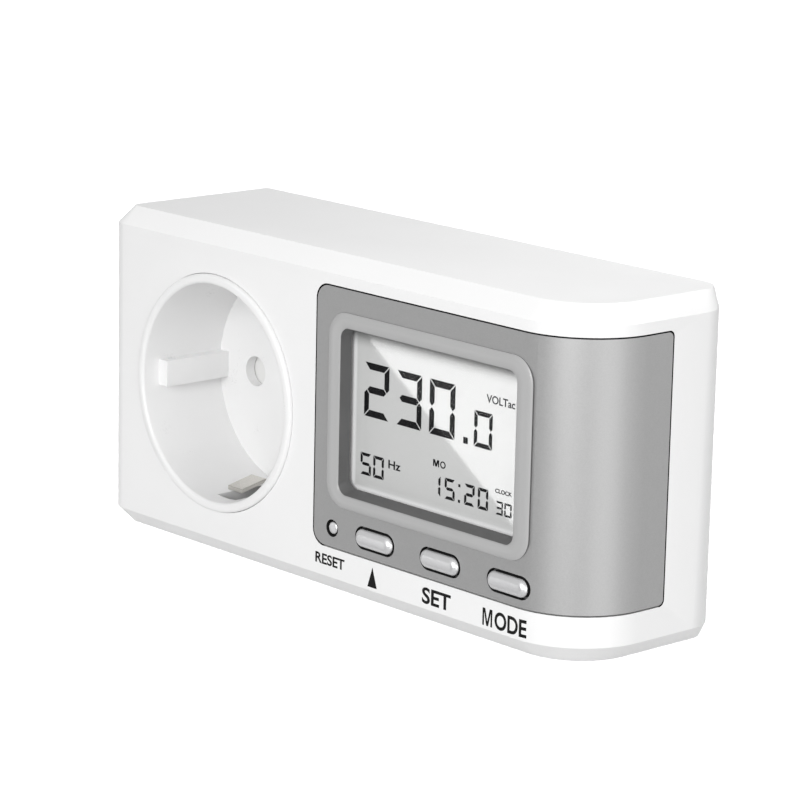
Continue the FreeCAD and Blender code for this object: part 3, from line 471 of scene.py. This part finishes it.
def add_piece(name, mesh, material):
    piece = bpy.data.objects.new(name, mesh)
    bpy.context.collection.objects.link(piece)
    mesh.materials.clear()
    mesh.materials.append(material)
    return piece


def under_skin(spot):
    """How far a point lies below the front surface, which wraps round the right corner."""
    if spot.x < BEND_START:
        return spot.y - FACE
    if spot.y > FACE + BEND:
        return SHELL_HIGH.x - spot.x
    return BEND - math.hypot(spot.x - BEND_START, FACE + BEND - spot.y)


def paint(piece, material, chosen):
    """Give a second material to the faces whose middle is chosen."""
    piece.data.materials.append(material)
    for face in piece.data.polygons:
        if chosen(face.center):
            face.material_index = len(piece.data.materials) - 1


def within(spot, low, high, reach):
    """Whether a point is inside a box seen from the front, with some reach outside it."""
    return low.x - reach < spot.x < high.x + reach and low.z - reach < spot.z < high.z + reach


def draped(piece):
    """Lay flat lettering on the front surface where it bends back."""
    shape = bmesh.new()
    shape.from_mesh(piece.data)
    step, cuts = 0.4 * MM, 8
    for number in range(cuts):
        cut = Vector((BEND_START + number * step, 0, 0))
        parts = list(shape.verts) + list(shape.edges) + list(shape.faces)
        bmesh.ops.bisect_plane(shape, geom=parts, dist=MERGE, plane_co=cut, plane_no=(1, 0, 0))
    for corner in shape.verts:
        past = corner.co.x - BEND_START
        if past > 0:
            corner.co.y += BEND - math.sqrt(BEND ** 2 - past ** 2)
    shape.to_mesh(piece.data)
    shape.free()


def ring(low, high, radius, depth):
    """The corners of an upright rounded rectangle at one depth, anticlockwise seen from the front."""
    points = []
    for turn, (x, z) in enumerate(((high.x, high.z), (low.x, high.z), (low.x, low.z), (high.x, low.z))):
        centre_x = x - radius * (1 if turn in (0, 3) else -1)
        centre_z = z - radius * (1 if turn in (0, 1) else -1)
        for step in range(CORNER_STEPS + 1):
            angle = math.pi / 2 * (turn + step / CORNER_STEPS)
            points.append((centre_x + radius * math.cos(angle), depth, centre_z + radius * math.sin(angle)))
    return points


def lofted(name, rings, material):
    """A skin over rings of equal count, the last joined to the first."""
    shape = bmesh.new()
    rows = [[shape.verts.new(point) for point in points] for points in rings]
    count = len(rows[0])
    for first, second in zip(rows, rows[1:] + rows[:1]):
        for start in range(count):
            end = (start + 1) % count
            shape.faces.new((first[start], first[end], second[end], second[start]))
    bmesh.ops.recalc_face_normals(shape, faces=shape.faces)
    mesh = bpy.data.meshes.new(name)
    shape.to_mesh(mesh)
    shape.free()
    for face in mesh.polygons:
        face.use_smooth = True
    mesh.set_sharp_from_angle(angle=LOFT_CREASE)
    return add_piece(name, mesh, material)


def stands_for(piece, node, body=HOUSING):
    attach(piece, body)
    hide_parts(node)


def softened(node, material, width, body=HOUSING):
    """Stands for a CAD node: the same shape with its sharp edges eased and its curved walls shaded smooth."""
    shape = bmesh.new()
    shape.from_mesh(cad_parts[node].data)
    bmesh.ops.remove_doubles(shape, verts=shape.verts, dist=MERGE)
    bmesh.ops.dissolve_limit(shape, angle_limit=FLAT, verts=shape.verts, edges=shape.edges)
    mesh = bpy.data.meshes.new(node + "_finish")
    shape.to_mesh(mesh)
    shape.free()
    piece = add_piece(node + "_finish", mesh, material)
    for face in mesh.polygons:
        face.use_smooth = True
    mesh.set_sharp_from_angle(angle=CREASE)
    if width:
        ease = piece.modifiers.new("eased", "BEVEL")
        ease.width = width
        ease.segments = EASE_STEPS
        ease.limit_method = "ANGLE"
        ease.angle_limit = CREASE
        ease.harden_normals = True
        ease.miter_outer = "MITER_ARC"
    plain(piece)
    stands_for(piece, node, body)
    return piece


def printed(name, text, left, low, width, height, front, material, slot, thicken):
    """Flat lettering on a front face, fitted to a width and height."""
    data = bpy.data.curves.new(name, "FONT")
    data.body = text
    data.extrude = SKIN / 2
    data.offset = thicken
    data.resolution_u = 6
    letters = bpy.data.objects.new(name, data)
    bpy.context.collection.objects.link(letters)
    bpy.context.view_layer.update()
    mesh = bpy.data.meshes.new_from_object(letters.evaluated_get(bpy.context.evaluated_depsgraph_get()))
    bpy.data.objects.remove(letters)
    low_x, high_x = min(v.co.x for v in mesh.vertices), max(v.co.x for v in mesh.vertices)
    low_y, high_y = min(v.co.y for v in mesh.vertices), max(v.co.y for v in mesh.vertices)
    wide, tall = width / (high_x - low_x), height / (high_y - low_y)
    mesh.transform(Matrix.Translation((left, front, low)) @ Matrix.Rotation(math.radians(90), 4, "X")
                   @ Matrix.Diagonal((wide, tall, 1, 1)) @ Matrix.Translation((-low_x, -low_y, 0)))
    piece = add_piece(name, mesh, material)
    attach(piece, HOUSING)
    return piece


def flat_shapes(name, outlines, front, material):
    """Thin plates on a front face from closed outlines of (x, z) corners."""
    shape = bmesh.new()
    for outline in outlines:
        near = [shape.verts.new((x, front - SKIN, z)) for x, z in outline]
        far = [shape.verts.new((x, front, z)) for x, z in outline]
        shape.faces.new(near)
        shape.faces.new(list(reversed(far)))
        count = len(outline)
        for start in range(count):
            end = (start + 1) % count
            shape.faces.new((near[end], near[start], far[start], far[end]))
    bmesh.ops.recalc_face_normals(shape, faces=shape.faces)
    mesh = bpy.data.meshes.new(name)
    shape.to_mesh(mesh)
    shape.free()
    piece = add_piece(name, mesh, material)
    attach(piece, HOUSING)
    return piece


# Segments lit for each figure: top, upper right, lower right, bottom, lower left, upper left, middle.
FIGURES = {"0": "1111110", "1": "0110000", "2": "1101101", "3": "1111001", "5": "1011011"}


def segment_outlines(figure, left, low, width, height, thick, gap):
    """The lit bars of one seven-segment figure, each with slanted ends."""
    right, top = left + width, low + height
    middle = low + height / 2
    half = thick / 2
    inner_low, inner_high = low + thick, top - thick
    bars = {
        0: [(left + gap, top), (right - gap, top), (right - thick - gap, inner_high),
            (left + thick + gap, inner_high)],
        3: [(left + gap, low), (left + thick + gap, inner_low), (right - thick - gap, inner_low),
            (right - gap, low)],
        6: [(left + half + gap, middle), (left + thick + gap, middle + half), (right - thick - gap, middle + half),
            (right - half - gap, middle), (right - thick - gap, middle - half), (left + thick + gap, middle - half)],
    }
    upper, lower = (top - gap, middle + gap / 2), (low + gap, middle - gap / 2)
    slant, point = half * 1.2, gap * 0.3
    for number, edge, inner, (tip, waist) in (
        (1, right, right - thick, upper), (5, left, left + thick, upper),
        (2, right, right - thick, lower), (4, left, left + thick, lower),
    ):
        turn = 1 if tip > waist else -1
        bars[number] = [(edge, tip), (inner, tip - turn * thick), (inner, waist + turn * slant),
                        ((edge + inner) / 2, waist + turn * point), (edge, waist + turn * half)]
    return [bars[number] for number, lit in enumerate(FIGURES[figure]) if lit == "1"]


def letter_m(left, low, width, height, stroke):
    """The outline of a capital M with upright sides."""
    right, top, middle = left + width, low + height, left + width / 2
    lean = stroke * 1.15                   # width of a slanted stroke
    shoulder = lean + stroke * 0.5
    armpit, notch = top - stroke * 1.6, low + stroke * 1.9
    return [(left, low), (left + stroke, low), (left + stroke, armpit), (middle - lean / 2, low),
            (middle + lean / 2, low), (right - stroke, armpit), (right - stroke, low), (right, low),
            (right, top), (right - shoulder, top), (middle, notch), (left + shoulder, top), (left, top)]


def display_reading(materials):
    """What the display shows: a voltage, its frequency, the day and the time."""
    front = CELL_LOW.y - SKIN / 2

    def at(x, z, wide, tall):
        return x * MM, z * MM, wide * MM, tall * MM

    rows = [
        ("230", at(36.75, 2.5, 6.3, 9.5), 8.26 * MM, 1.2 * MM, 0.15 * MM),
        ("0", at(64.3, 2.45, 4.4, 6.2), 5.2 * MM, 0.8 * MM, 0.12 * MM),
        ("50", at(36.1, -8.0, 2.72, 3.9), 3.3 * MM, 0.55 * MM, 0.08 * MM),
        ("1", at(53.95, -8.0, 2.5, 3.65), 3.3 * MM, 0.53 * MM, 0.08 * MM),
        ("5", at(57.5, -8.0, 2.5, 3.65), 3.3 * MM, 0.53 * MM, 0.08 * MM),
        ("20", at(62.35, -8.0, 2.5, 3.65), 3.3 * MM, 0.53 * MM, 0.08 * MM),
        ("30", at(70.0, -8.05, 1.72, 2.32), 2.07 * MM, 0.34 * MM, 0.05 * MM),
    ]
    outlines = []
    for text, (left, low, wide, tall), pitch, thick, gap in rows:
        for number, figure in enumerate(text):
            outlines += segment_outlines(figure, left + number * pitch, low, wide, tall, thick, gap)
    outlines.append(dot(61.75 * MM, 2.45 * MM, 1.1 * MM))
    outlines += [dot(60.85 * MM, level * MM, 0.5 * MM) for level in (-8.0, -5.3)]
    outlines.append(letter_m(*at(54.5, -2.92, 1.5, 1.2), 0.28 * MM))
    flat_shapes("display_figures", outlines, front, materials["segment"])
    for name, text, place, look, thicken in (
        ("unit_volts", "VOLTac", at(67.1, 10.45, 6.8, 1.4), "unit", 0.016),
        ("unit_hertz", "Hz", at(43.25, -5.62, 3.1, 1.5), "segment", 0.02),
        ("unit_day", "O", at(56.25, -2.95, 1.35, 1.25), "segment", 0.02),
        ("unit_clock", "CLOCK", at(69.75, -4.42, 4.05, 0.76), "unit", 0.03),
    ):
        printed(name, text, *place, front, materials[look], slot="lcd_cell", thicken=thicken)


def dot(left, low, side):
    return [(left, low), (left + side, low), (left + side, low + side), (left, low + side)]


def legends(materials):
    """The black words under the fascia and the arrow mark under the first long button."""
    for name, text, left, low, wide, tall in (
        ("legend_reset", "RESET", 28.4, -24.95, 7.7, 1.95),
        ("legend_set", "SET", 56.1, -26.0, 7.1, 2.9),
        ("legend_mode", "ODE", 73.9, -26.35, 7.4, 3.1),
    ):
        word = printed(name, text, left * MM, low * MM, wide * MM, tall * MM, FACE - SKIN / 2, materials["ink"],
                       "white_housing", thicken=0.024)
        draped(word)
    foot, peak = -26.3 * MM, -22.7 * MM
    arrow = [(42.2 * MM, foot), (44.6 * MM, foot), (43.4 * MM, peak)]
    flat_shapes("legend_arrow", [arrow], FACE, materials["ink"])
    first_letter = letter_m(71.0 * MM, -26.3 * MM, 2.35 * MM, 3.0 * MM, 0.38 * MM)
    flat_shapes("legend_mode_m", [first_letter], FACE, materials["ink"])


def drawn_in(fascia, by):
    """Widen the joint round the fascia by pulling its outer edge in, clear of the button holes; with the painted
    shadow on its walls it shows as a fine dark line.
    """
    corner_size, end_size = 2.8 * MM, 1.1 * MM
    below_holes, fade = FASCIA_LOW.z + 1.3 * MM, 0.8 * MM
    for corner in fascia.data.vertices:
        spot = corner.co
        if spot.x < FASCIA_LOW.x + corner_size:
            spot.x += by
        if spot.z > FASCIA_HIGH.z - corner_size:
            spot.z -= by
        if spot.z < below_holes:
            spot.z += by * min(1, (below_holes - spot.z) / fade)
        if spot.y > FASCIA_HIGH.y - end_size:
            spot.y -= by


def crowned_frame(material):
    """The display frame: a low pillow round the window, whose inner wall drops to the window pane."""
    radius_out, radius_in = 4.5 * MM, 2 * MM
    low_proud, proud = 0.3 * MM, FACE - RIM_LOW.y
    wall, back, lip = 1.2 * MM, LENS_LOW.y, 0.12 * MM
    rise, crest_end, steps = 0.45, 0.96, 8

    def part_way(share, height):
        low, high = RIM_LOW.lerp(WINDOW_LOW, share), RIM_HIGH.lerp(WINDOW_HIGH, share)
        return ring(low, high, radius_out + (radius_in - radius_out) * share, FACE - height)

    rings = []
    for step in range(steps + 1):
        angle = math.pi / 2 * step / steps
        rings.append(part_way(rise * (1 - math.cos(angle)), proud * math.sin(angle)))
    for step in range(1, steps + 1):
        share = step / steps
        rings.append(part_way(rise + (crest_end - rise) * share, proud - (proud - low_proud) * share ** 2))
    rings.append(part_way(1, low_proud - lip))
    rings.append(ring(WINDOW_LOW + Vector((0, 0, SILL)), WINDOW_HIGH, radius_in, back))
    outward = Vector((wall, 0, wall))
    for depth in (back, FACE):
        rings.append(ring(WINDOW_LOW - outward, WINDOW_HIGH + outward, radius_in, depth))
    frame_piece = lofted("display_frame_finish", rings, material)
    stands_for(frame_piece, "display_frame")


def visible_pieces(materials):
    shell = softened("front_shell", materials["white"], 0.3 * MM)
    # painted shadow: the shell's faces behind the fascia, seen through its joint and the button holes, get the
    # near-black gap material
    seam, fascia_depth, shell_skin = 0.25 * MM, 1.5 * MM, 0.06 * MM
    paint(shell, materials["gap"], lambda spot: shell_skin < under_skin(spot) < fascia_depth
          and within(spot, FASCIA_LOW, FASCIA_HIGH, seam) and spot.y < FASCIA_HIGH.y + seam)
    softened("rear_cover", materials["white"], 0.2 * MM)
    softened("socket_insert", materials["socket"], 0.15 * MM)
    fascia = softened("fascia_panel", materials["fascia"], 0.12 * MM)
    joint, fascia_skin = 0.17 * MM, 0.03 * MM
    drawn_in(fascia, joint)
    # painted shadow: the fascia's edge walls and the walls of its button holes get the near-black gap material
    paint(fascia, materials["gap"], lambda spot: fascia_skin < under_skin(spot) < FASCIA_HIGH.y - FACE)
    crowned_frame(materials["rim"])
    pane = softened("display_window", materials["window"], 0)
    clear = 0.15 * MM                      # room between the pane and the figures on the display
    for corner in pane.data.vertices:
        if corner.co.y > LENS_HIGH.y - MERGE:
            corner.co.y -= clear
    softened("plug_base", materials["plug"], 0.25 * MM)
    for side in ("neutral", "live"):
        softened(f"plug_pin_{side}", materials["nickel"], 0)
    for side in ("top", "bottom"):
        softened(f"earth_strip_{side}", materials["nickel"], 0.1 * MM)
    softened("case_screws", materials["steel"], 0.08 * MM)
    # painted shadow: each button's flanks below the face get the near-black gap material, for the dark slot round it
    cap_rim = 0.2 * MM
    for name in ("up", "set", "mode", "reset"):
        cap = softened(f"button_{name}", materials["button"], 0.06 * MM, body=f"{name}_button")
        flank = max(FACE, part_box(f"button_{name}")[0].y + cap_rim)
        paint(cap, materials["gap"], lambda spot: spot.y > flank)
    softened("shutter_disc", materials["shutter"], 0.1 * MM, body="shutter")


# ---------------------------------------------------------------- solder joints

def joint_row_tree():
    """Geometry nodes for a row of solder joints: small cones on a board, each a slightly different size."""
    tree = bpy.data.node_groups.new("joint_row", "GeometryNodeTree")
    tree.interface.new_socket("Geometry", in_out="OUTPUT", socket_type="NodeSocketGeometry")
    for name, kind in (("Count", "Int"), ("First", "Vector"), ("Step", "Vector"), ("Facing", "Vector"),
                       ("Foot", "Float"), ("Tip", "Float"), ("Height", "Float"), ("Seed", "Int"),
                       ("Solder", "Material")):
        tree.interface.new_socket(name, in_out="INPUT", socket_type=f"NodeSocket{kind}")
    nodes = Nodes(tree)
    inputs = tree.nodes.new("NodeGroupInput")

    def given(name):
        return Wire(nodes, inputs.outputs[name])

    line = nodes.add("GeometryNodeMeshLine", {"mode": "OFFSET"}, {
        "Count": given("Count"), "Start Location": given("First"), "Offset": given("Step")})
    cone = nodes.add("GeometryNodeMeshCone", None, {
        "Vertices": 20, "Radius Top": given("Tip"), "Radius Bottom": given("Foot"), "Depth": given("Height")})
    smallest, largest, seed = 2, 3, 8      # sockets of a random number
    size = nodes.add("FunctionNodeRandomValue", {"data_type": "FLOAT"},
                     {smallest: 0.88, largest: 1.0, seed: given("Seed")}, output=1)
    turn = nodes.add("FunctionNodeAlignRotationToVector", {"axis": "Z"}, {"Vector": given("Facing")})
    placed = nodes.add("GeometryNodeInstanceOnPoints", None, {
        "Points": line, "Instance": cone, "Rotation": turn, "Scale": size})
    real = nodes.add("GeometryNodeRealizeInstances", None, {"Geometry": placed})
    dressed = nodes.add("GeometryNodeSetMaterial", None, {"Geometry": real, "Material": given("Solder")})
    tree.links.new(dressed.socket, tree.nodes.new("NodeGroupOutput").inputs["Geometry"])
    return tree


def joint_row(name, tree, count, start, end, facing, foot, tip, height, solder):
    """One row of joints between two places on the face of a board."""
    first, last = Vector(start), Vector(end)
    settings = {"Count": count, "First": list(first), "Step": list((last - first) / (count - 1)),
                "Facing": [0.0, facing, 0.0], "Foot": foot, "Tip": tip, "Height": height,
                "Seed": JOINT_SEED, "Solder": solder}
    piece = add_piece(name, bpy.data.meshes.new(name), solder)
    row = piece.modifiers.new("row", "NODES")
    row.node_group = tree
    for socket in tree.interface.items_tree:
        if socket.in_out == "INPUT":
            row[socket.identifier] = settings[socket.name]
    plain(piece)
    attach(piece, HOUSING)


def solder_joints(solder):
    """Joints round the link pins where they leave the boards, and along the sides of the two chips."""
    tree = joint_row_tree()
    wide_joint = (0.85 * MM, 0.42 * MM, 0.7 * MM)      # radius at the foot, radius at the tip, height
    fine_joint = (0.36 * MM, 0.2 * MM, 0.45 * MM)
    low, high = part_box("board_link_pins")
    inset = (high.z - low.z) / 2
    level = low.z + inset
    for board in ("display_board", "power_board"):
        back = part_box(board)[1].y
        joint_row(f"link_joints_{board}", tree, 6, (low.x + inset, back, level), (high.x - inset, back, level),
                  BACKWARD, *wide_joint, solder)
    for chip, board, legs in (("metering_chip", "power_board", 8), ("display_controller", "display_board", 12)):
        (chip_low, chip_high), (board_low, board_high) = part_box(chip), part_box(board)
        in_front = chip_low.y < board_low.y
        face, facing = (board_low.y, FORWARD) if in_front else (board_high.y, BACKWARD)
        end, out = 0.7 * MM, 0.2 * MM
        for side, z in (("upper", chip_high.z + out), ("lower", chip_low.z - out)):
            joint_row(f"{chip}_joints_{side}", tree, legs, (chip_low.x + end, face, z), (chip_high.x - end, face, z),
                      facing, *fine_joint, solder)


def dress_nodes(materials):
    """Materials for the CAD pieces that show as they are, all inside the housing."""
    looks = {
        "display": ["lcd_glass"], "film": ["lcd_reflector"], "holder": ["lcd_holder", "board_pillars"],
        "rubber": ["zebra_strip_top", "zebra_strip_bottom"], "board": ["display_board", "power_board"],
        "dark": ["contact_carrier", "display_controller", "metering_chip", "link_header", "plunger_up",
                 "plunger_set", "plunger_mode", "plunger_reset"],
        "brass": ["contact_clip_neutral", "contact_clip_live", "neutral_link", "live_feed_link",
                  "live_return_link", "board_link_pins", "shunt_resistor"],
        "steel": ["shutter_spring", "board_screws", "battery_clip", "tact_switches"],
        "nickel": ["clock_crystal", "backup_battery"], "yellow": ["film_capacitor"],
        "sleeve": ["reservoir_capacitor"], "blue": ["varistor"], "tan": ["dropper_resistor"],
    }
    for look, nodes in looks.items():
        for node in nodes:
            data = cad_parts[node].data
            data.materials.clear()
            data.materials.append(materials[look])


make_camera()
make_studio()
window_glare()
MATERIALS = make_materials()
visible_pieces(MATERIALS)
dress_nodes(MATERIALS)
solder_joints(MATERIALS["solder"])
display_reading(MATERIALS)
legends(MATERIALS)
